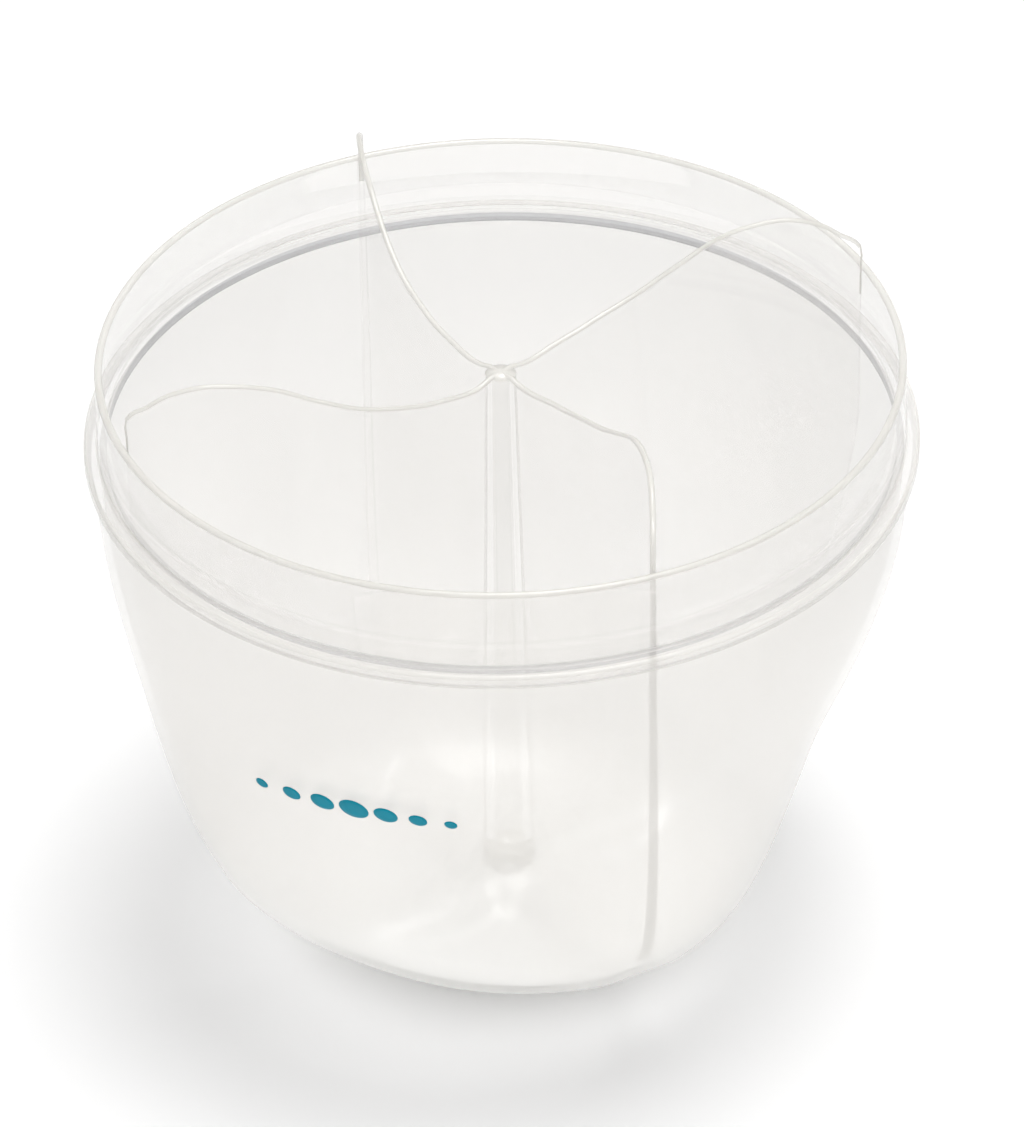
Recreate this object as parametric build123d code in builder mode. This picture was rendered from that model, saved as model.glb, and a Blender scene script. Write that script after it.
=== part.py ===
"""Four-compartment formula dispenser: a cup with a lid collar, and a lift-out pinwheel divider.

Millimetres, +Z up, origin at the centre of the plane the cup stands on.
One vane's chord runs along +X and the other three follow at quarter turns.
"""
from build123d import *
import os
from math import atan2, cos, pi, radians, sin

os.makedirs("parts", exist_ok=True)

# ---- driving dimensions -------------------------------------------------------------------
RIM_RADIUS = 50.0          # outside of the lid collar
WALL = 1.0                 # wall of the whole cup
CUP_HEIGHT = 83.4          # standing plane to the top of the rim
COLLAR_HEIGHT = 10.7       # rim down to the ledge the lid lands on
FLANGE_RADIUS = 51.85      # ledge that stands out round the cup
FLANGE_THICKNESS = 1.8
BEAD_HEIGHT = 1.4          # snap bead on the collar, for the lid
BEAD_PROUD = 0.25
BEAD_DEPTH = 7.4           # bead's middle, below the rim

GAP = 0.3                  # divider to cup, all round
VANE_FOOT = 1.8            # vane thickness at the standing plane
VANE_HEAD = 0.7            # and at its highest point
VANE_BOW = 5.35            # how far each vane bows out from its chord
POST_RADIUS = 1.75         # post where the four vanes meet, at its top
POST_FOOT = 3.2            # and at the standing plane
POST_TOP = 81.7
VANE_PEAK = 91.4           # highest point of the vanes

VALLEY_RADIUS = 12.0       # rounded valleys under the vanes that leave four feet
VALLEY_TOP = 2.7
DOME_RADIUS = 15.0         # push-up in the middle of the bottom
DOME_TOP = 4.0

CORNER_TURN = radians(8)   # the body's soft corners sit a little past the vanes' chords

# Body outside: height, radius at the soft corners by the vanes, radius at the sides between them
STATIONS = [
    (CUP_HEIGHT - COLLAR_HEIGHT, 51.0, 51.0),
    (66.0, 50.8, 50.6),
    (59.0, 50.3, 49.7),
    (53.0, 49.6, 48.2),
    (47.0, 48.6, 46.2),
    (41.0, 47.6, 43.6),
    (35.0, 46.4, 41.4),
    (29.0, 44.9, 39.7),
    (23.6, 43.2, 38.1),
    (18.5, 41.1, 36.5),
    (14.3, 38.9, 34.7),
    (8.4, 33.8, 31.0),
    (3.4, 27.0, 26.4),
    (0.0, 18.0, 20.0),
]

# ---- sizes worked out from them -----------------------------------------------------------
ledge_z = CUP_HEIGHT - COLLAR_HEIGHT
bore_radius = RIM_RADIUS - WALL
vane_reach = bore_radius - GAP
chord = bore_radius
arc_radius = ((chord / 2) ** 2 + VANE_BOW**2) / (2 * VANE_BOW)
above = 20.0               # how far cutting solids stand past the rim
section_points = 24


def wall_lean(i):
    """Angle of the body's side from vertical at station i, read from the stations beside it."""
    low = STATIONS[min(i + 1, len(STATIONS) - 1)]
    high = STATIONS[max(i - 1, 0)]
    run = (high[1] + high[2]) / 2 - (low[1] + low[2]) / 2
    return atan2(run, high[0] - low[0])


def section(corner, side):
    """Closed curve, four-fold round the axis, with the two radii given."""
    mean = (corner + side) / 2
    swell = (corner - side) / 2
    points = []
    for k in range(section_points):
        a = 2 * pi * k / section_points
        r = mean + swell * cos(4 * (a - CORNER_TURN))
        points.append((r * cos(a), r * sin(a)))
    return points


def bowl(inset):
    """Solid inside of the body's outer face, moved in by inset along the face's slope."""
    with BuildPart() as body:
        for i, (z, corner, side) in enumerate(STATIONS):
            lean = wall_lean(i)
            last = i == len(STATIONS) - 1
            up = inset if last else inset * sin(lean)
            back = inset * (cos(lean) if i else 1)
            with BuildSketch(Plane.XY.offset(z + (up if i else 0))):
                with BuildLine():
                    Spline(*section(corner - back, side - back), periodic=True)
                make_face()
        loft()
    return body.part


def underside(inset):
    """The valleys under the vanes and the central push-up, swollen by inset."""
    valley_z = VALLEY_TOP - VALLEY_RADIUS
    dome_z = DOME_TOP - DOME_RADIUS
    with BuildPart() as hollow:
        for k in range(4):
            turn = Plane.XY.rotated((0, 0, 90 * k)).offset(valley_z)
            with BuildLine(turn):
                path = ThreePointArc((0, 0), (chord / 2, VANE_BOW), (chord, 0))
            start = Plane(path @ 0, z_dir=path % 0)
            with BuildSketch(start):
                Circle(VALLEY_RADIUS + inset)
            sweep(path=path)
        with Locations((0, 0, dome_z)):
            Sphere(DOME_RADIUS + inset)
    return hollow.part


# ---- cup: body, ledge and collar moulded in one piece --------------------------------------
with BuildPart() as cup:
    add(bowl(0))
    add(underside(0), mode=Mode.SUBTRACT)
    with BuildSketch(Plane.XY.offset(ledge_z)):
        Circle(FLANGE_RADIUS)
    extrude(amount=-FLANGE_THICKNESS)
    with BuildSketch(Plane.XY.offset(ledge_z)):
        Circle(RIM_RADIUS)
    extrude(amount=COLLAR_HEIGHT)
    with BuildSketch(Plane.XZ):
        with Locations((RIM_RADIUS, CUP_HEIGHT - BEAD_DEPTH)):
            Ellipse(BEAD_PROUD, BEAD_HEIGHT / 2)
    revolve(axis=Axis.Z)
    with BuildPart(mode=Mode.PRIVATE) as room:
        add(bowl(WALL))
        add(underside(WALL), mode=Mode.SUBTRACT)
        with BuildSketch(Plane.XY.offset(ledge_z - FLANGE_THICKNESS)):
            Circle(bore_radius)
        extrude(amount=COLLAR_HEIGHT + FLANGE_THICKNESS + above)
        with BuildSketch(Plane.XY.offset(ledge_z - WALL)):
            Circle(RIM_RADIUS + above)
            Circle(bore_radius, mode=Mode.SUBTRACT)
        extrude(amount=COLLAR_HEIGHT, mode=Mode.SUBTRACT)
    add(room.part, mode=Mode.SUBTRACT)
cup.part.label = "cup"
export_step(cup.part, "parts/cup.step")

# ---- divider: four bowed vanes round a post, moulded in one piece --------------------------
with BuildPart() as vane:
    for height, width in ((0, VANE_FOOT), (VANE_PEAK, VANE_HEAD)):
        with BuildSketch(Plane.XY.offset(height)):
            with BuildLine():
                ThreePointArc((0, 0), (chord / 2, VANE_BOW), (chord, 0))
            trace(line_width=width)
    loft()
    with BuildSketch(Plane.XZ):
        with BuildLine():
            top = Spline(
                (0, POST_TOP - 0.7),
                (5, POST_TOP - 1.1),
                (15, POST_TOP + 0.9),
                (24, VANE_PEAK - 5.4),
                (32, VANE_PEAK - 1.3),
                (39.5, VANE_PEAK),
                (45.6, VANE_PEAK - 1.9),
                (chord, CUP_HEIGHT + 1.5),
            )
            Polyline(top @ 1, (chord, 0), (0, 0), top @ 0)
        make_face()
    extrude(amount=RIM_RADIUS, both=True, mode=Mode.INTERSECT)

with BuildPart() as divider:
    with PolarLocations(0, 4):
        add(vane.part)
    Cone(POST_FOOT, POST_RADIUS, POST_TOP, align=(Align.CENTER, Align.CENTER, Align.MIN))
    with BuildPart(mode=Mode.PRIVATE) as clear:
        add(bowl(WALL + GAP))
        with BuildSketch(Plane.XY.offset(ledge_z - FLANGE_THICKNESS)):
            Circle(vane_reach)
        extrude(amount=COLLAR_HEIGHT + FLANGE_THICKNESS + above)
        with BuildSketch():
            Circle(vane_reach)
        extrude(amount=CUP_HEIGHT + above, mode=Mode.INTERSECT)
        add(underside(WALL + GAP), mode=Mode.SUBTRACT)
    add(clear.part, mode=Mode.INTERSECT)
divider.part.label = "divider"
export_step(divider.part, "parts/divider.step")

print("cup volume cm3", round(cup.part.volume / 1000, 2))
print("divider volume cm3", round(divider.part.volume / 1000, 2))
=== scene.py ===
"""Looks of the four-compartment formula dispenser: cup, lift-out divider, row of dots, studio."""
from math import cos, pi, radians, sin

import bpy
import numpy as np
from mathutils import Matrix, Vector


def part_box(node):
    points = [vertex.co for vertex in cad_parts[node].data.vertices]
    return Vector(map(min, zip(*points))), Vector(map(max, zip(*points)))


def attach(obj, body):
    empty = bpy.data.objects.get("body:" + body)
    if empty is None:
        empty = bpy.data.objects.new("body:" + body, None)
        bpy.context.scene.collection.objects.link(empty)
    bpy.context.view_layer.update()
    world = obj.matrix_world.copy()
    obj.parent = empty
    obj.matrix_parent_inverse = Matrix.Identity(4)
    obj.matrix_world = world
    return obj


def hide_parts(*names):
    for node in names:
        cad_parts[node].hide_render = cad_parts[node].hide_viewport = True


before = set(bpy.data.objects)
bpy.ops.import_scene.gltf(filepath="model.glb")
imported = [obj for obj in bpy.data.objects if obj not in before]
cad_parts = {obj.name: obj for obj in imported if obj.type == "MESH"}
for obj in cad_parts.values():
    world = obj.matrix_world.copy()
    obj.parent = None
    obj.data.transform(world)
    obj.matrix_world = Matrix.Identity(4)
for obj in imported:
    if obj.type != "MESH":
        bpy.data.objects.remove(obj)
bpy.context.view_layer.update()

# ---- sizes in millimetres, from the CAD boxes and the part's own dimensions ------------------
MM = 0.001
cup_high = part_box("cup")[1]
RIM_Z = cup_high.z / MM
LEDGE_RADIUS = cup_high.x / MM
RIM_RADIUS = LEDGE_RADIUS - 1.85
WALL = 1.0
BORE = RIM_RADIUS - WALL
LEDGE_Z = RIM_Z - 10.7           # top of the ledge that stands out round the collar
LEDGE_LOW = LEDGE_Z - 1.8
LEDGE_TOP_ROUND = 0.45
LEDGE_LOW_ROUND = 0.35
LEDGE_FILLET = 0.35              # where the collar stands on the ledge
BEAD_Z = RIM_Z - 7.4
BEAD_HALF = 0.7
BEAD_PROUD = 0.25

CHORD = BORE                     # a vane's chord runs from the middle to the bore
VANE_BOW = 5.35
ARC = ((CHORD / 2) ** 2 + VANE_BOW**2) / (2 * VANE_BOW)
VANE_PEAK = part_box("divider")[1].z / MM - 0.01
VANE_TOP, VANE_LOW = 0.75, 1.75  # vane thickness at the top and at the floor
GAP = 0.3                        # between the divider and the cup
POST_TOP = 81.7
POST_RADIUS = 1.7                # at the top
POST_FOOT = 3.2                  # radius at the floor

# Outside of the body: height, radius at the soft corners by the vanes, radius at the sides
STATIONS = np.array([
    (LEDGE_LOW, 50.95, 50.95),
    (66.0, 50.8, 50.6),
    (59.0, 50.3, 49.7),
    (53.0, 49.6, 48.2),
    (47.0, 48.6, 46.2),
    (41.0, 47.6, 43.6),
    (35.0, 46.4, 41.4),
    (29.0, 44.9, 39.7),
    (23.6, 43.2, 38.1),
    (18.5, 41.1, 36.5),
    (14.3, 38.9, 34.7),
    (8.4, 33.8, 31.0),
    (3.4, 27.0, 26.4),
    (0.6, 20.5, 20.5),
    (0.0, 13.0, 13.0),
    (0.0, 6.0, 6.0),
    (0.0, 0.0, 0.0),
])
CORNER_TURN = radians(8)         # how far the soft corners are turned from the vanes' chords

# Valleys under the vanes, the push-up between the feet, and the shallow grooves above the valleys
VALLEY_RISE, VALLEY_HALF = 2.7, 9.0
PUSH_UP_RISE, PUSH_UP_RADIUS = 4.0, 14.0
SINK = 1.65                      # both rise from this far below the feet, which leaves the feet flat
GROOVE_DEPTH, GROOVE_HALF = 0.55, 5.0
GROOVE_Z, GROOVE_REACH = 8.0, 9.0
BOTTOM_MIDDLE = 15.0             # no groove nearer the middle than this

# ---- how finely the meshes are divided --------------------------------------------------------
AROUND = 384                     # columns round the cup
BODY_ROWS = np.concatenate([np.linspace(0, 0.62, 60), np.linspace(0.62, 0.99, 62)[1:]])
ALONG, UP, ROUND = 72, 56, 8     # a vane: steps along it, up it and round its edges
POST_STEPS = 6                   # round the post, from one vane to the next


# ---- shape functions --------------------------------------------------------------------------
def through(table, u):
    """Smooth curve through the rows of a table, read at u from 0 to 1."""
    n = len(table) - 1
    t = np.clip(np.asarray(u, float) * n, 0, n - 1e-9)
    i = t.astype(int)
    f = (t - i)[..., None]
    before, here = table[np.maximum(i - 1, 0)], table[i]
    after, later = table[i + 1], table[np.minimum(i + 2, n)]
    b = after - before
    c = 2 * before - 5 * here + 4 * after - later
    d = 3 * here - before - 3 * after + later
    return 0.5 * (2 * here + b * f + c * f**2 + d * f**3)


def smooth_max(a, b, k):
    """The larger of two heights, blended over a band k wide."""
    h = np.clip(0.5 + 0.5 * (a - b) / k, 0, 1)
    return b * (1 - h) + a * h + k * h * (1 - h)


def hump(d, half):
    """1 in the middle, falling smoothly to 0 at a distance of half."""
    return np.cos(np.clip(np.abs(d) / half, 0, 1) * pi / 2) ** 2


def unit(vectors):
    """Vectors of an array's last axis at a length of 1."""
    return vectors / np.maximum(np.linalg.norm(vectors, axis=-1, keepdims=True), 1e-9)


def bow(x):
    """Sideways bow of a vane at distance x along its chord."""
    return np.sqrt(np.maximum(ARC**2 - (x - CHORD / 2) ** 2, 0)) - (ARC - VANE_BOW)


def from_vane(x, y):
    """Distance across to the nearest vane's middle line, for points inside the cup's width."""
    best = np.full(np.shape(x), np.inf)
    for k in range(4):
        c, s = cos(k * pi / 2), sin(k * pi / 2)
        along, across = x * c + y * s, y * c - x * s
        distance = np.abs(across - bow(np.clip(along, 0, CHORD)))
        best = np.where(along > -2, np.minimum(best, distance), best)
    return best


def body_outside(u, angle):
    """Points of the body's outer face; u runs from under the ledge to the middle of the bottom."""
    row = through(STATIONS, u)
    corner, side = row[..., 1], row[..., 2]
    z = row[..., 0] + 0 * angle
    r = (corner + side) / 2 + (corner - side) / 2 * np.cos(4 * (angle - CORNER_TURN))
    off = from_vane(r * np.cos(angle), r * np.sin(angle))
    groove = GROOVE_DEPTH * hump(off, GROOVE_HALF) * hump(z - GROOVE_Z, GROOVE_REACH)
    r = r - groove * (r > BOTTOM_MIDDLE)
    valley = (VALLEY_RISE + SINK) * hump(off, VALLEY_HALF)
    push_up = (PUSH_UP_RISE + SINK) * hump(r, PUSH_UP_RADIUS)
    z = smooth_max(np.maximum(z, 0), smooth_max(valley, push_up, 1.0) - SINK, 1.4)
    return np.stack([r * np.cos(angle), r * np.sin(angle), z], -1)


def arc_points(cx, cz, radius, start, end, steps):
    """Points of a circular arc in the radius-height plane, angles in degrees from outward."""
    angles = [radians(start + (end - start) * k / steps) for k in range(steps + 1)]
    return [(cx + radius * cos(a), cz + radius * sin(a)) for a in angles]


# ---- meshes -----------------------------------------------------------------------------------
class Shell:
    """Points, faces and material slots of one closed mesh, in millimetres."""

    def __init__(self):
        self.points, self.faces, self.slots = [], [], []

    def point(self, place):
        """Add a point and return its number."""
        self.points.append(place)
        return len(self.points) - 1

    def face(self, slot, *corners):
        """Add a face, its corners anticlockwise as seen from outside."""
        self.faces.append(corners)
        self.slots.append(slot)

    def strip(self, slot, a, b):
        """Add the faces between two equally long rows of points."""
        for i in range(len(a) - 1):
            self.face(slot, a[i], b[i], b[i + 1], a[i + 1])

    def to_object(self, name, materials):
        """Smooth Blender object in metres."""
        mesh = bpy.data.meshes.new(name)
        mesh.from_pydata((np.asarray(self.points) * MM).tolist(), [], self.faces)
        for material in materials:
            mesh.materials.append(material)
        mesh.polygons.foreach_set("material_index", np.asarray(self.slots, np.int32))
        mesh.polygons.foreach_set("use_smooth", [True] * len(mesh.polygons))
        mesh.update()
        obj = bpy.data.objects.new(name, mesh)
        bpy.context.collection.objects.link(obj)
        return obj


# ---- materials --------------------------------------------------------------------------------
CLOUD_SCALE = 38.0               # flow clouds per metre
SPECK_SCALE = 1200.0             # specks of ink per metre


def new_material(name):
    """Material with its node tree and its shader."""
    material = bpy.data.materials.new(name)
    material.use_nodes = True
    return material, material.node_tree, material.node_tree.nodes["Principled BSDF"]


def object_place(tree):
    """Output that gives the place on the object, in metres."""
    return tree.nodes.new("ShaderNodeTexCoord").outputs["Object"]


def noise(tree, coord, scale, detail):
    """Noise through the object, scale in features per metre."""
    node = tree.nodes.new("ShaderNodeTexNoise")
    node.inputs["Scale"].default_value = scale
    node.inputs["Detail"].default_value = detail
    tree.links.new(coord, node.inputs["Vector"])
    return node.outputs["Fac"]


def two_tone(tree, factor, low, high, start, end):
    """Colour that goes from low to high as the factor goes from start to end."""
    node = tree.nodes.new("ShaderNodeValToRGB")
    for element, position, colour in zip(node.color_ramp.elements, (start, end), (low, high)):
        element.position = position
        element.color = (*colour, 1)
    tree.links.new(factor, node.inputs["Fac"])
    return node.outputs["Color"]


def remap(tree, value, low, high, start=0.0, end=1.0, smooth=False):
    """Number that goes from low to high as the value goes from start to end."""
    node = tree.nodes.new("ShaderNodeMapRange")
    if smooth:
        node.interpolation_type = "SMOOTHSTEP"
    for socket, number in (("From Min", start), ("From Max", end), ("To Min", low), ("To Max", high)):
        node.inputs[socket].default_value = number
    tree.links.new(value, node.inputs["Value"])
    return node.outputs["Result"]


def plastic(name, colour, rough, glassy, density, grain, depth, mottle):
    """Moulded polypropylene: see-through with a milky part, faint flow clouding and a fine surface.

    density is the share of light that a surface stops, grain and depth are the surface's texture in
    millimetres, and mottle is how much darker the clouds are.
    """
    material, tree, shader = new_material(name)
    coord = object_place(tree)
    shader.inputs["IOR"].default_value = 1.49
    shader.inputs["Transmission Weight"].default_value = glassy
    shader.inputs["Alpha"].default_value = density
    cloud = noise(tree, coord, CLOUD_SCALE, 3.0)
    tint = two_tone(tree, cloud, [c * (1 - mottle) for c in colour], colour, 0.3, 0.7)
    tree.links.new(tint, shader.inputs["Base Color"])
    tree.links.new(remap(tree, cloud, rough * 0.94, rough * 1.06), shader.inputs["Roughness"])
    bump = tree.nodes.new("ShaderNodeBump")
    bump.inputs["Strength"].default_value = 1.0
    bump.inputs["Distance"].default_value = depth * MM
    tree.links.new(noise(tree, coord, 1 / (grain * MM), 2.0), bump.inputs["Height"])
    tree.links.new(bump.outputs["Normal"], shader.inputs["Normal"])
    return material


def from_middle_line(tree):
    """Distance from the cup's middle line."""
    flat = tree.nodes.new("ShaderNodeVectorMath")
    flat.operation = "MULTIPLY"
    flat.inputs[1].default_value = (1, 1, 0)
    tree.links.new(object_place(tree), flat.inputs[0])
    length = tree.nodes.new("ShaderNodeVectorMath")
    length.operation = "LENGTH"
    tree.links.new(flat.outputs["Vector"], length.inputs[0])
    return length.outputs["Value"]


def thicken_and_light_bottom(material):
    """Make the bottom denser than the wall, and paler: the paler colour is painted light, as if the bottom
    were lit from above through the open top.
    """
    tree = material.node_tree
    shader = tree.nodes["Principled BSDF"]
    radius = from_middle_line(tree)
    density = remap(tree, radius, BOTTOM_DENSITY, BODY_DENSITY, *THINS_OUT, smooth=True)
    tree.links.new(density, shader.inputs["Alpha"])
    mix = tree.nodes.new("ShaderNodeMix")
    mix.data_type = "RGBA"
    mix.inputs["B"].default_value = (*PAINTED_LIGHT_MILK, 1)
    tree.links.new(remap(tree, radius, 1.0, 0.0, *PAINTED_LIGHT_FADES, smooth=True), mix.inputs["Factor"])
    tree.links.new(shader.inputs["Base Color"].links[0].from_socket, mix.inputs["A"])
    tree.links.new(mix.outputs["Result"], shader.inputs["Base Color"])


def ink(name, colour):
    """Pad-printed ink: one hue, slightly uneven, with a soft sheen."""
    material, tree, shader = new_material(name)
    shader.inputs["Specular IOR Level"].default_value = 0.1
    speck = noise(tree, object_place(tree), SPECK_SCALE, 2.0)
    darker, lighter = [c * 0.86 for c in colour], [min(c * 1.1, 1) for c in colour]
    tree.links.new(two_tone(tree, speck, darker, lighter, 0.0, 1.0), shader.inputs["Base Color"])
    tree.links.new(remap(tree, speck, 0.38, 0.46), shader.inputs["Roughness"])
    return material


MILK = (0.93, 0.91, 0.88)
# painted light: the bottom's paler colour makes it look lit from above through the open top
PAINTED_LIGHT_MILK = (0.98, 0.975, 0.96)
BODY_DENSITY = 0.365
BOTTOM_DENSITY = 0.85
# distances from the middle line, in metres, between which the bottom's density and its painted light turn
# into the wall's
THINS_OUT = (20 * MM, 33 * MM)
PAINTED_LIGHT_FADES = (28 * MM, 46 * MM)
collar_plastic = plastic("clear_collar", MILK, 0.03, 0.5, 0.37, grain=6.0, depth=0.003, mottle=0.01)
body_plastic = plastic("satin_body", (0.90, 0.88, 0.85), 0.31, 0.25, BODY_DENSITY,
                       grain=1.5, depth=0.01, mottle=0.01)
thicken_and_light_bottom(body_plastic)
vane_plastic = plastic("clear_vane", MILK, 0.12, 0.5, 0.12, grain=3.0, depth=0.006, mottle=0.01)
post_plastic = plastic("divider_post", (0.80, 0.785, 0.75), 0.18, 0.3, 0.22,
                       grain=3.0, depth=0.006, mottle=0.01)
# darker colours painted as shade, for the dark look that long ways through the plastic give: rim and edges,
# ledge, inner shoulder, front vane's end
rim_edge_shade_plastic = plastic("rim_edge_painted_shade", (0.70, 0.685, 0.64), 0.2, 0.3, 0.75,
                       grain=3.0, depth=0.004, mottle=0.015)
# painted shade on the front vane's end only: a dark grey for the look of that end seen end-on through the
# front wall
front_end_shade_plastic = plastic("front_vane_end_painted_shade", (0.48, 0.465, 0.43), 0.15, 0.2, 0.66,
                      grain=3.0, depth=0.004, mottle=0.015)
ledge_ring_shade_plastic = plastic("flange_ring_painted_shade", (0.86, 0.845, 0.805), 0.15, 0.4, 0.6,
                        grain=3.0, depth=0.004, mottle=0.015)
# a dark blue-grey band painted on the bore just under the ledge: painted shade for the dark line the ledge
# shows from inside the cup
shoulder_shade_plastic = plastic("inner_shoulder_painted_shade", (0.36, 0.37, 0.40), 0.1, 0.5, 0.62,
                           grain=3.0, depth=0.004, mottle=0.015)


# ---- cup --------------------------------------------------------------------------------------
CUP_MATERIALS = [collar_plastic, body_plastic, rim_edge_shade_plastic, ledge_ring_shade_plastic, shoulder_shade_plastic]
COLLAR, BODY, RIM, LEDGE, SHOULDER_SHADE = range(5)


def grid_normals(p):
    """Unit normals of a grid of points that closes on itself sideways, pointing out of the cup."""
    down = np.gradient(p, axis=0)
    sideways = (np.roll(p, -1, 1) - np.roll(p, 1, 1)) / 2
    return unit(np.cross(down, sideways))


def collar_runs(inner_radius):
    """Radius and height from the ledge's underside over the rim to the inner shoulder, by slot.

    A slot belongs to the faces that follow its points. inner_radius is the body's first inner radius.
    """
    low_round = arc_points(LEDGE_RADIUS - LEDGE_LOW_ROUND, LEDGE_LOW + LEDGE_LOW_ROUND,
                           LEDGE_LOW_ROUND, -90, 0, 5)
    top_round = arc_points(LEDGE_RADIUS - LEDGE_TOP_ROUND, LEDGE_Z - LEDGE_TOP_ROUND,
                           LEDGE_TOP_ROUND, 0, 90, 6)
    fillet = arc_points(RIM_RADIUS + LEDGE_FILLET, LEDGE_Z + LEDGE_FILLET,
                        LEDGE_FILLET, -90, -180, 5)
    bead = [(RIM_RADIUS + BEAD_PROUD * (1 - t * t), BEAD_Z + BEAD_HALF * t) for t in np.linspace(-1, 1, 11)]
    rim = arc_points(RIM_RADIUS - WALL / 2, RIM_Z - WALL / 2, WALL / 2, 0, 180, 12)
    return [
        (LEDGE, low_round[:-1]),
        (COLLAR, low_round[-1:]),
        (LEDGE, top_round[:-1]),
        (COLLAR, top_round[-1:]),
        (LEDGE, fillet[:-1]),
        (COLLAR, fillet[-1:] + bead + [(RIM_RADIUS, RIM_Z - d) for d in (4, 2)]),
        (RIM, rim[:-1]),
        (COLLAR, rim[-1:] + [(BORE, RIM_Z - d) for d in (3, 6, 9)]),
        # band of painted shade on the plain bore, for the dark line the ledge shows from inside
        (SHOULDER_SHADE, [(BORE, LEDGE_Z - d) for d in (0.3, 1.0)]),
        (BODY, [(BORE, LEDGE_Z - 1.6), (inner_radius, LEDGE_LOW + 0.3)]),
    ]


def cup_object():
    """One closed shell: bottom outside, up the body, ledge, collar, rim, and down the inside."""
    angle = np.arange(AROUND) * 2 * pi / AROUND
    outside = body_outside(BODY_ROWS[:, None], angle[None, :])
    inside = outside - WALL * grid_normals(outside)
    inside = inside[np.argmax(inside[:, 0, 2] < LEDGE_LOW - 0.6):]
    ring, ring_slots = [], []
    for slot, run in collar_runs(np.hypot(*inside[0, 0, :2]) - 0.03):
        ring += run
        ring_slots += [slot] * len(run)
    radius, height = np.array(ring).T[:, :, None]
    band = np.stack([radius * np.cos(angle), radius * np.sin(angle), height + 0 * angle], -1)
    rows = np.concatenate([outside[::-1], band, inside])
    row_slots = [BODY] * (len(outside) - 1) + [LEDGE] + ring_slots + [BODY] * (len(inside) - 1)

    shell = Shell()
    shell.points = list(rows.reshape(-1, 3))
    loops = [[*range(i, i + AROUND), i] for i in range(0, len(shell.points), AROUND)]
    for slot, lower, upper in zip(row_slots, loops, loops[1:]):
        shell.strip(slot, upper, lower)
    low = body_outside(np.array([[1.0]]), np.array([[0.0]]))[0, 0]
    bottom, floor = shell.point(low), shell.point(low + (0, 0, WALL))
    for a, b in zip(loops[0], loops[0][1:]):
        shell.face(BODY, bottom, b, a)
    for a, b in zip(loops[-1], loops[-1][1:]):
        shell.face(BODY, floor, a, b)
    return shell.to_object("cup_shell", CUP_MATERIALS)


cup = cup_object()
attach(cup, "cup")
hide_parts("cup")


# ---- print: a row of dots on the body ---------------------------------------------------------
DOTS = 7
DOT_STEP = 4.1                   # spacing round the body
DOT_LARGEST = 1.9                # radius of the middle dot
DOT_SHRINK = 0.19                # of that, for each place away from the middle
DOT_AROUND = 32
PRINT_Z = 45.6
PRINT_ANGLE = radians(-135)
INK_LIFT = 0.06
BACK_LIFT = 0.01                 # the dots' back faces clear the body by this
DOT_RINGS = ((0.6, INK_LIFT), (0.97, INK_LIFT), (1.0, BACK_LIFT))     # share of the radius, lift


def on_body(angle, z, lift):
    """Point on the body's outer face at an angle and a height, lifted outward."""
    u = np.linspace(0, 0.6, 300)
    line = body_outside(u, np.full(u.shape, angle))
    r = np.interp(-z, -line[:, 2], np.hypot(line[:, 0], line[:, 1])) + lift
    return r * cos(angle), r * sin(angle), z


def add_dot(shell, across, size, reach):
    """One thin closed disc, across from the row's middle, on a body whose radius is reach."""
    middle = PRINT_ANGLE + across / reach
    rings = [[shell.point(on_body(middle + share * size * cos(t) / reach,
                                  PRINT_Z + share * size * sin(t), lift))
              for t in np.arange(DOT_AROUND) * 2 * pi / DOT_AROUND] for share, lift in DOT_RINGS]
    top = shell.point(on_body(middle, PRINT_Z, INK_LIFT))
    back = shell.point(on_body(middle, PRINT_Z, BACK_LIFT))
    inner, _, outer = (ring + ring[:1] for ring in rings)
    for i in range(DOT_AROUND):
        shell.face(0, top, inner[i], inner[i + 1])
        shell.face(0, outer[i], back, outer[i + 1])
    for a, b in zip(rings, rings[1:]):
        shell.strip(0, a + a[:1], b + b[:1])


def dots_object():
    """A row of round dots, largest in the middle."""
    shell = Shell()
    reach = np.hypot(*on_body(PRINT_ANGLE, PRINT_Z, 0)[:2])
    for k in range(DOTS):
        place = k - (DOTS - 1) / 2
        add_dot(shell, place * DOT_STEP, DOT_LARGEST * (1 - DOT_SHRINK * abs(place)), reach)
    return shell.to_object("printed_dots", [ink("teal_ink", (0.0, 0.23, 0.32))])


dots = dots_object()
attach(dots, "cup")


# ---- divider ----------------------------------------------------------------------------------
DIVIDER_MATERIALS = [vane_plastic, rim_edge_shade_plastic, post_plastic, front_end_shade_plastic]
VANE, EDGE, POST, FRONT_END_SHADE = range(4)
FRONT_VANE = 3                   # only its end gets the painted shade, a grey band for how it looks end-on through the front wall; the four vanes are alike
WRAP = 5                         # steps down each end that look like the top edge
# Top edge of a vane: distance along the chord, height
TOP_LINE = np.array([
    (0, POST_TOP - 0.7), (2.5, POST_TOP - 1.2), (5, POST_TOP - 1.2), (8.5, POST_TOP - 0.6), (12, POST_TOP),
    (15, POST_TOP + 0.85), (18.4, POST_TOP + 1.85), (21.4, POST_TOP + 3.0), (24, POST_TOP + 4.3),
    (26.5, POST_TOP + 5.55), (28.5, POST_TOP + 6.7), (30.4, POST_TOP + 7.7), (32.4, POST_TOP + 8.5),
    (35.3, VANE_PEAK - 0.45), (39.5, VANE_PEAK), (43.5, VANE_PEAK - 0.9), (46.2, VANE_PEAK - 2.7),
])
END_REACH = BORE - GAP - VANE_TOP / 2     # chord distance of the end's rounding, inside the collar
TIP_BULGE = np.array([0.9, 0.55])         # how far the tip's corner is rounded outward
END_STOPS = 18.0                          # the corner between the end and the bottom is below this
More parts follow.
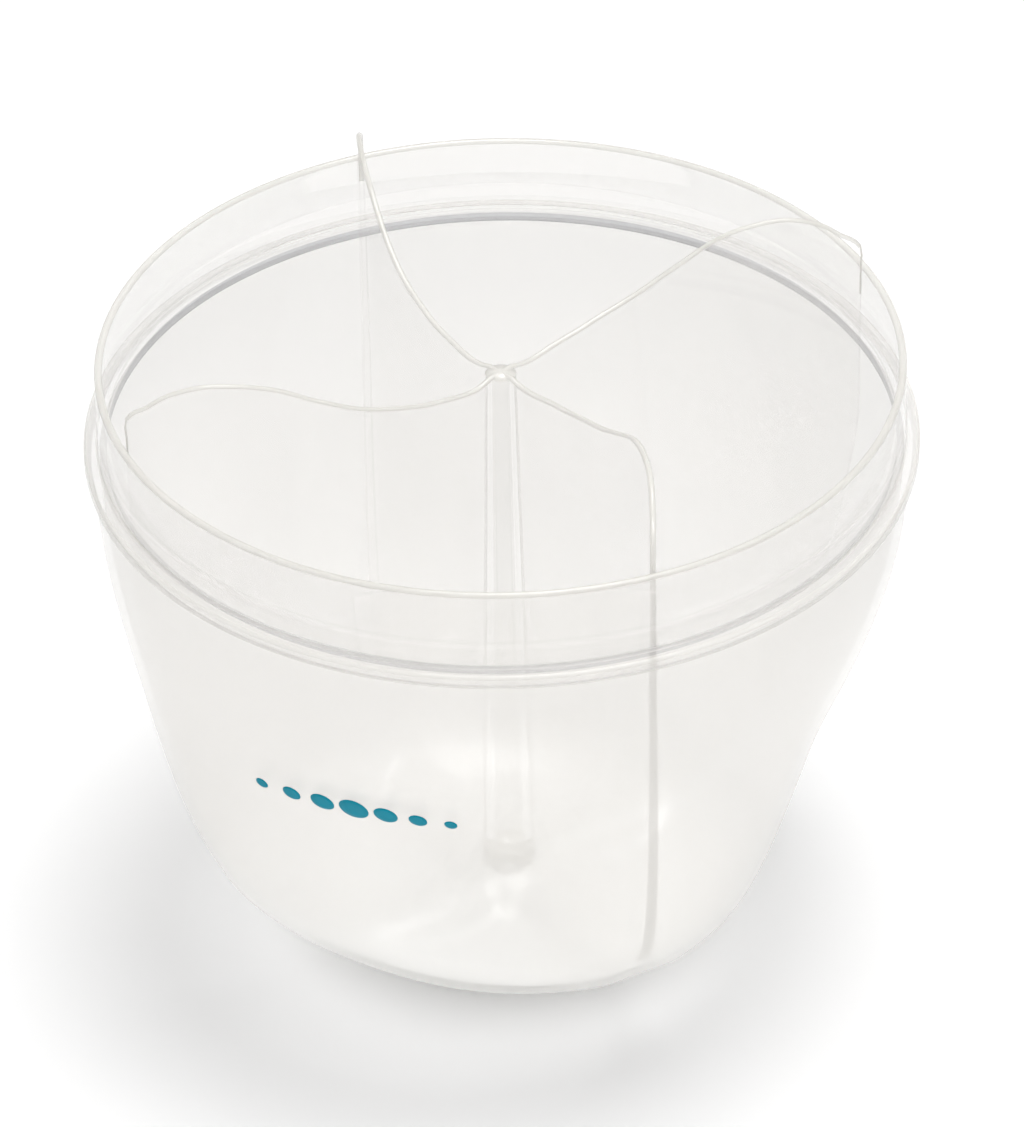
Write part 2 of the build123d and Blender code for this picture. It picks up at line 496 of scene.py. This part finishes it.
ROOT = 12.0                               # the sheet is drawn out to the post's face within this


def even(line, count):
    """The same line with its points evenly spaced."""
    line = np.asarray(line, float)
    d = np.concatenate([[0], np.cumsum(np.hypot(*np.diff(line, axis=0).T))])
    t = np.linspace(0, d[-1], count)
    return np.stack([np.interp(t, d, line[:, 0]), np.interp(t, d, line[:, 1])], 1)


def wall_line():
    """Chord distance and height of a vane's outer edge and bottom, a gap inside the cup's wall."""
    u = np.linspace(0, 0.97, 500)
    x = np.full(u.shape, 48.0)
    for _ in range(6):           # the angle at which the bowed vane meets the wall settles quickly
        angle = np.arctan2(bow(np.minimum(x, CHORD)), x)
        wall = body_outside(u, angle)
        r = np.hypot(wall[:, 0], wall[:, 1])
        x = r * np.cos(angle)
    line = np.stack([r, wall[:, 2]], 1)
    step = np.gradient(line, axis=0)
    line = line + (WALL + GAP + VANE_LOW / 2) * unit(np.stack([step[:, 1], -step[:, 0]], 1))
    line[:, 0] = np.minimum(line[:, 0], END_REACH)
    line = line[(line[:, 1] < LEDGE_LOW - 1) & (line[:, 0] > 8)]
    line[:, 0] *= np.cos(np.arctan2(bow(line[:, 0]), line[:, 0]))
    return line


def vane_outline():
    """Boundary of a vane in its chord-height plane: top, outer edge and bottom, evenly spaced."""
    line = wall_line()
    floor = line[-1, 1]
    edge = np.vstack([[END_REACH, RIM_Z + 1.2], [END_REACH, LEDGE_LOW + 1], line,
                      [2.0, floor + 0.6], [0, floor + 1.2]])
    top = through(TOP_LINE, np.linspace(0, 1, 160)) - (0, VANE_TOP / 2)
    end = top[-1]
    bend = [end + (edge[0] - end) * t + TIP_BULGE * sin(pi * t) for t in np.linspace(0, 1, 14)[1:-1]]
    whole = np.vstack([top, bend, edge])
    tip = len(top) + len(bend) // 2
    # the bottom starts where the outer edge, low down, runs more inward than downward
    run = np.abs(np.gradient(whole, axis=0))
    low = (whole[:, 1] < END_STOPS) & (run[:, 1] < run[:, 0]) & (np.arange(len(whole)) > tip)
    corner = int(np.argmax(low))
    return (even(whole[:tip + 1], ALONG + 1), even(whole[tip:corner + 1][::-1], UP + 1),
            even(whole[corner:][::-1], ALONG + 1))


def patch(top, right, bottom):
    """Grid that fills the outline; index 0 along the chord, index 1 up."""
    left = np.linspace(bottom[0], top[0], UP + 1)
    s = np.linspace(0, 1, ALONG + 1)[:, None, None]
    t = np.linspace(0, 1, UP + 1)[None, :, None]
    flat = (1 - t) * bottom[:, None] + t * top[:, None] + (1 - s) * left[None] + s * right[None]
    corners = ((1 - s) * (1 - t) * bottom[0] + s * (1 - t) * bottom[-1]
               + (1 - s) * t * top[0] + s * t * top[-1])
    return flat - corners


def outward(line, sign):
    """Directions square to a line in its own plane, on the side that sign chooses."""
    step = np.gradient(line, axis=0)
    return unit(sign * np.stack([-step[:, 1], step[:, 0]], 1))


class Vane:
    """Middle sheet of one vane, with the directions in which its faces and edges stand off it."""

    def __init__(self):
        top, right, bottom = vane_outline()
        grid = patch(top, right, bottom)
        grid[0, :, 0] = 0
        z = grid[..., 1]
        post = POST_FOOT + (POST_RADIUS - POST_FOOT) * np.clip(z / POST_TOP, 0, 1)
        pull = np.linspace(1, 0, ALONG + 1)[:, None] ** 8 * post
        x = np.maximum(grid[..., 0], 0) + pull * (1 - np.clip(grid[..., 0] / ROOT, 0, 1))
        thick = VANE_TOP + (VANE_LOW - VANE_TOP) * np.clip((POST_TOP - z) / POST_TOP, 0, 1)
        lean = -(x - CHORD / 2) / np.sqrt(ARC**2 - (x - CHORD / 2) ** 2)
        self.half = thick / 2
        self.middle = np.stack([x, bow(x), z], -1)
        self.tangent = unit(np.stack([np.ones_like(x), lean, np.zeros_like(x)], -1))
        self.across = np.stack([-self.tangent[..., 1], self.tangent[..., 0], np.zeros_like(x)], -1)
        self.out_top, self.out_bottom = outward(top, 1), outward(bottom, -1)
        self.out_end = outward(right, -1)
        self.out_top[-1] = self.out_end[-1] = unit(self.out_top[-1] + self.out_end[-1])
        self.out_bottom[-1] = self.out_end[0] = unit(self.out_bottom[-1] + self.out_end[0])

    def place(self, i, j, side, out=(0, 0)):
        """Point at grid place i, j: side from -1 to 1 across the thickness, out past the edge."""
        off_sheet = self.across[i, j] * side
        off_edge = self.tangent[i, j] * out[0] + np.array([0, 0, out[1]])
        return self.middle[i, j] + (off_sheet + off_edge) * self.half[i, j]

    def rounding(self, i, j, way):
        """Points over a free edge at grid place i, j, between the two faces."""
        turns = [pi * m / ROUND for m in range(1, ROUND)]
        return [self.place(i, j, -cos(a), sin(a) * way) for a in turns]


class Arm:
    """Point numbers of one vane in the shell: its two faces and its rounded edges."""

    def __init__(self, shell, vane, k):
        c, s = cos(k * pi / 2), sin(k * pi / 2)
        turn = np.array([[c, -s, 0], [s, c, 0], [0, 0, 1]])

        def put(places):
            return [shell.point(turn @ place) for place in places]

        columns = range(ALONG + 1)
        self.right = [put(vane.place(i, j, -1) for j in range(UP + 1)) for i in columns]
        self.left = [put(vane.place(i, j, 1) for j in range(UP + 1)) for i in columns]
        self.over = [put(vane.rounding(i, UP, vane.out_top[i])) for i in columns]
        self.under = [put(vane.rounding(i, 0, vane.out_bottom[i])) for i in columns]
        middle = [put(vane.rounding(ALONG, j, vane.out_end[j])) for j in range(1, UP)]
        self.end = [self.under[-1], *middle, self.over[-1]]

    def section(self, edge, i, j):
        """Point numbers across the sheet at grid place i, j, from its right face to its left."""
        return [self.right[i][j], *edge, self.left[i][j]]


def end_slot(k, j, m):
    """Material slot of the strip m round the end of vane k, at step j up it."""
    if m in (0, ROUND - 1):
        return VANE
    if j >= UP - WRAP:
        return EDGE
    # painted shade: the dark end colour goes on the front vane only
    return FRONT_END_SHADE if k == FRONT_VANE else VANE


def add_vane(shell, arm, k):
    """Faces of one vane."""
    for i in range(ALONG):
        shell.strip(VANE, arm.right[i], arm.right[i + 1])
        shell.strip(VANE, arm.left[i + 1], arm.left[i])
        shell.strip(EDGE, arm.section(arm.over[i], i, UP), arm.section(arm.over[i + 1], i + 1, UP))
        shell.strip(VANE, arm.section(arm.under[i + 1], i + 1, 0), arm.section(arm.under[i], i, 0))
    for j in range(UP):
        a, b = arm.section(arm.end[j], ALONG, j), arm.section(arm.end[j + 1], ALONG, j + 1)
        for m in range(ROUND):
            shell.face(end_slot(k, j, m), a[m], a[m + 1], b[m + 1], b[m])


def add_post_side(shell, left, right):
    """Quarter of the post between one vane's left face and the next one's right; returns its columns."""
    columns = []
    for m in range(1, POST_STEPS):
        column = []
        for a, b in zip(left, right):
            a, b = shell.points[a], shell.points[b]
            p = a + (b - a) * m / POST_STEPS
            p[:2] *= np.hypot(*a[:2]) / np.hypot(*p[:2])
            column.append(shell.point(p))
        columns.append(column)
    columns = [left, *columns, right]
    for a, b in zip(columns, columns[1:]):
        shell.strip(POST, a, b)
    return columns


def cap_post(shell, arms, sides, level, up):
    """Low cone that closes the post at its top or its foot."""
    loop = []
    for arm, side in zip(arms, sides):
        edge = arm.over[0] if up > 0 else arm.under[0]
        loop += arm.section(edge, 0, level) + [column[level] for column in side[1:-1]]
    height = np.mean([shell.points[i][2] for i in loop]) + 0.25 * up
    centre = shell.point(np.array([0, 0, height]))
    for a, b in zip(loop, loop[1:] + loop[:1]):
        shell.face(EDGE, centre, *((a, b) if up > 0 else (b, a)))


def divider_object():
    """Post and four vanes as one closed shell, with every free edge rounded over."""
    shell = Shell()
    vane = Vane()
    arms = [Arm(shell, vane, k) for k in range(4)]
    for k, arm in enumerate(arms):
        add_vane(shell, arm, k)
    sides = [add_post_side(shell, arms[k].left[0], arms[(k + 1) % 4].right[0]) for k in range(4)]
    cap_post(shell, arms, sides, UP, 1)
    cap_post(shell, arms, sides, 0, -1)
    return shell.to_object("divider_insert", DIVIDER_MATERIALS)


divider = divider_object()
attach(divider, "divider")
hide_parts("divider")


# ---- studio -----------------------------------------------------------------------------------
FLOOR_HALF = 6000.0
FLOOR_Z = -0.02                  # just under the feet


def floor_plane():
    """Plain pale floor."""
    material, _, shader = new_material("floor_white")
    shader.inputs["Base Color"].default_value = (0.9, 0.9, 0.9, 1)
    shader.inputs["Roughness"].default_value = 0.9
    shell = Shell()
    corners = [(-1, -1), (1, -1), (1, 1), (-1, 1)]
    shell.face(0, *[shell.point((x * FLOOR_HALF, y * FLOOR_HALF, FLOOR_Z)) for x, y in corners])
    shell.to_object("floor", [material])


def area_light(name, azimuth, elevation, distance, size, power):
    """Round soft light that faces the object; angles in degrees from the front and the floor."""
    a, e = radians(azimuth), radians(elevation)
    back = Vector((sin(a) * cos(e), -cos(a) * cos(e), sin(e)))
    data = bpy.data.lights.new(name, "AREA")
    data.shape = "DISK"
    data.size = size
    data.energy = power
    light = bpy.data.objects.new(name, data)
    bpy.context.collection.objects.link(light)
    light.location = Vector((0, 0, RIM_Z * MM / 2)) + back * distance
    light.rotation_mode = "QUATERNION"
    light.rotation_quaternion = (-back).to_track_quat("-Z", "Y")
    return light


def studio_world(strength):
    """Even white surroundings."""
    world = bpy.data.worlds.new("studio")
    world.use_nodes = True
    background = world.node_tree.nodes["Background"]
    background.inputs["Color"].default_value = (1, 1, 1, 1)
    background.inputs["Strength"].default_value = strength
    bpy.context.scene.world = world


floor_plane()
studio_world(0.4)
area_light("softbox_key", 108, 83, distance=1.2, size=0.6, power=13.2)
fill = area_light("softbox_fill", -20, 9, distance=1.3, size=0.9, power=5.5)
fill.visible_glossy = False      # else it shows as white stripes inside the back of the collar


# ---- camera -----------------------------------------------------------------------------------
DISTANCE = 16.03 * RIM_RADIUS * MM
AZIMUTH, ELEVATION, ROLL = radians(-20.83), radians(34.25), radians(1.03)
LENS, SENSOR = 208.0, 36.0
OFF_RIGHT, OFF_UP = 0.010382, -0.185537    # frame's middle from the rim's, as shares of its height


def photo_camera():
    """Camera at the photo's viewing angle, turned so that the rim stands where it does there."""
    back = Vector((sin(AZIMUTH) * cos(ELEVATION), -cos(AZIMUTH) * cos(ELEVATION), sin(ELEVATION)))
    level_right = Vector((cos(AZIMUTH), sin(AZIMUTH), 0))
    level_up = back.cross(level_right)
    right = level_right * cos(ROLL) - level_up * sin(ROLL)
    up = level_right * sin(ROLL) + level_up * cos(ROLL)
    aim = (-back * LENS / SENSOR + right * OFF_RIGHT + up * OFF_UP).normalized()
    right = (right - aim * right.dot(aim)).normalized()
    data = bpy.data.cameras.new("camera")
    data.lens = LENS
    data.sensor_width = SENSOR
    data.clip_end = 50
    camera = bpy.data.objects.new("camera", data)
    bpy.context.collection.objects.link(camera)
    turn = Matrix((right, right.cross(aim), -aim)).transposed().to_4x4()
    camera.matrix_world = Matrix.Translation(Vector((0, 0, cup_high.z)) + back * DISTANCE) @ turn
    return camera


bpy.context.scene.camera = photo_camera()
bpy.context.scene.view_settings.view_transform = "Standard"
# a ray can cross collar, two vanes and both walls, so more see-through surfaces than the usual 8
bpy.context.scene.cycles.transparent_max_bounces = 24
